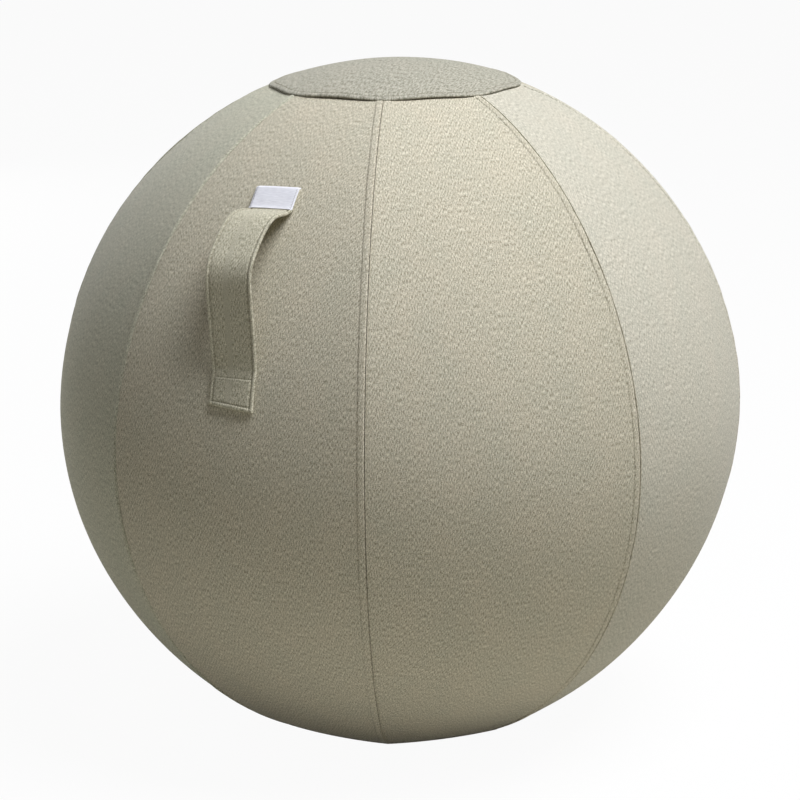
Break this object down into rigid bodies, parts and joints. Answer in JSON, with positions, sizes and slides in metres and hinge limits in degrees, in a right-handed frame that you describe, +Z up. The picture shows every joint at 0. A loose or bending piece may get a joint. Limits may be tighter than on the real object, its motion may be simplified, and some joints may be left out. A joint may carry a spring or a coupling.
{
  "type": "balance ball chair",
  "caption": "Large sitting ball in a fitted cloth cover of sewn panels, with a strap handle, a bare label, a round top panel and a flat weighted base closed by a zip.",
  "frame": {"origin": "middle of the base's underside, on the floor", "axes": "+Z up through the middle of the top panel; -Y towards the panel with the handle"},
  "size_m": [0.6412, 0.6412, 0.6317],
  "materials": {
    "cover_fabric": "heathered sage grey woven cloth",
    "strap_fabric": "same cloth, folded and edge-stitched",
    "label_fabric": "fine white woven ribbon, bare",
    "base_leatherette": "grained dark leatherette",
    "ring_rubber": "plain matt",
    "sleeve_fabric": "plain lining cloth",
    "bladder_rubber": "smooth satin",
    "plug_plastic": "smooth moulded",
    "tape_fabric": "ribbed zip tape",
    "teeth_plastic": "moulded",
    "slider_metal": "dark plated"
  },
  "bodies": {
    "root": {"cover_panel_front": "cover_fabric", "cover_panel_front_right": "cover_fabric", "cover_panel_right": "cover_fabric", "cover_panel_rear_right": "cover_fabric", "cover_panel_rear": "cover_fabric", "cover_panel_rear_left": "cover_fabric", "cover_panel_left": "cover_fabric", "cover_panel_front_left": "cover_fabric", "top_panel": "cover_fabric", "seam_allowances": "cover_fabric", "handle_backing_patches": "cover_fabric", "handle_upper_end": "strap_fabric", "handle_upper_leg": "strap_fabric", "handle_lower_leg": "strap_fabric", "handle_lower_end": "strap_fabric", "woven_label": "label_fabric", "base_pan": "base_leatherette", "weight_ring": "ring_rubber", "weight_ring_sleeve": "sleeve_fabric", "bladder": "bladder_rubber", "valve_seat": "bladder_rubber", "valve_plug": "plug_plastic", "zip_facing": "tape_fabric", "zip_tape_outer": "tape_fabric", "zip_tape_inner": "tape_fabric", "zip_joining_strip": "tape_fabric", "zip_teeth_inner": "teeth_plastic", "zip_teeth_outer": "teeth_plastic", "zip_stops": "slider_metal"},
    "handle": {"handle_grip": "strap_fabric"},
    "slider": {"zip_slider": "slider_metal"},
    "pull": {"zip_pull": "slider_metal"}
  },
  "joints": [
    {"name": "handle_flex", "type": "slide", "parent": "root", "child": "handle", "axis": [0, -0.8387, 0.5446], "range_m": [-0.014, 0.012], "stiffness_N_per_m": 30, "deforming": ["handle_upper_leg", "handle_lower_leg"]},
    {"name": "zip_slide", "type": "hinge", "parent": "root", "child": "slider", "pos_m": [0, 0, 0], "axis": [0, 0, 1], "range_deg": [0, 250], "deforming": ["zip_teeth_inner", "zip_teeth_outer"]},
    {"name": "pull_swing", "type": "hinge", "parent": "slider", "child": "pull", "pos_m": [-0.01046, 0.11954, 0.0041], "axis": [0.0872, -0.9962, 0], "range_deg": [-8, 172]}
  ]
}
